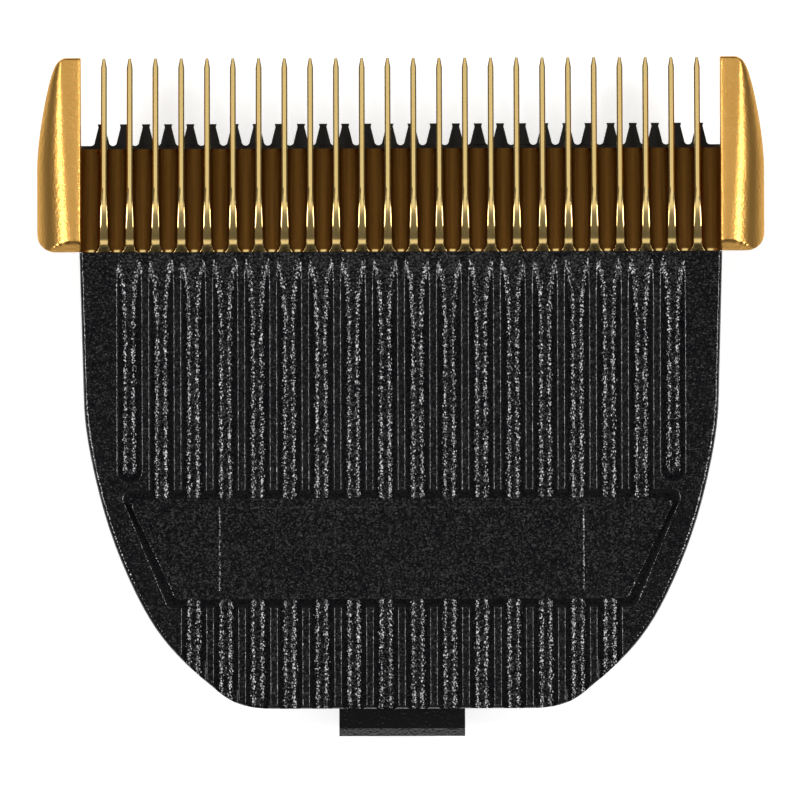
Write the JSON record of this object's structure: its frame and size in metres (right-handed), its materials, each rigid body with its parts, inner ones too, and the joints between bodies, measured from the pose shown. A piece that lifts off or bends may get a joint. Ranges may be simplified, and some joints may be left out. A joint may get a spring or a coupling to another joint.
{
  "type": "hair clipper blade head",
  "caption": "Detachable clipper blade head: gold toothed comb over a black sliding blade, gold end guards, and a black ribbed holder with a mounting hook.",
  "frame": {"origin": "centre of the outline, on the plane of the back rim that the head rests on", "axes": "+Z out of the front face, +Y towards the tips of the teeth, +X along the row of teeth"},
  "size_m": [0.046, 0.043, 0.0128],
  "materials": {
    "black_plastic": "fine grained moulded black",
    "gold_comb": "gold coated polished steel",
    "gold_guard": "satin metallic gold paint",
    "black_blade": "black coated steel",
    "plain_steel": "bright steel",
    "spring_steel": "drawn spring wire",
    "white_plastic": "natural low friction plastic",
    "grey_plastic": "moulded dark grey"
  },
  "bodies": {
    "holder": {"blade_holder": "black_plastic", "fixed_comb": "gold_comb", "comb_screws": "plain_steel", "left_end_guard": "gold_guard", "right_end_guard": "gold_guard", "left_pivot_pin": "plain_steel", "right_pivot_pin": "plain_steel", "left_torsion_spring": "spring_steel", "right_torsion_spring": "spring_steel"},
    "rocker": {"cleaning_lever": "grey_plastic", "rocker_arm": "grey_plastic", "guide_rail": "plain_steel"},
    "cutter": {"moving_blade": "black_blade", "yoke_rivets": "plain_steel", "drive_yoke": "white_plastic"}
  },
  "joints": [
    {"name": "blade_lift", "type": "hinge", "parent": "holder", "child": "rocker", "pos_m": [0, -0.0015, 0.0063], "axis": [-1, 0, 0], "range_deg": [0, 4.5], "stiffness_Nm_per_rad": 0.075, "springref_deg": -17.19, "deforming": ["left_torsion_spring", "right_torsion_spring"]},
    {"name": "blade_slide", "type": "slide", "parent": "rocker", "child": "cutter", "axis": [1, 0, 0], "range_m": [-0.0012, 0.0012]}
  ]
}
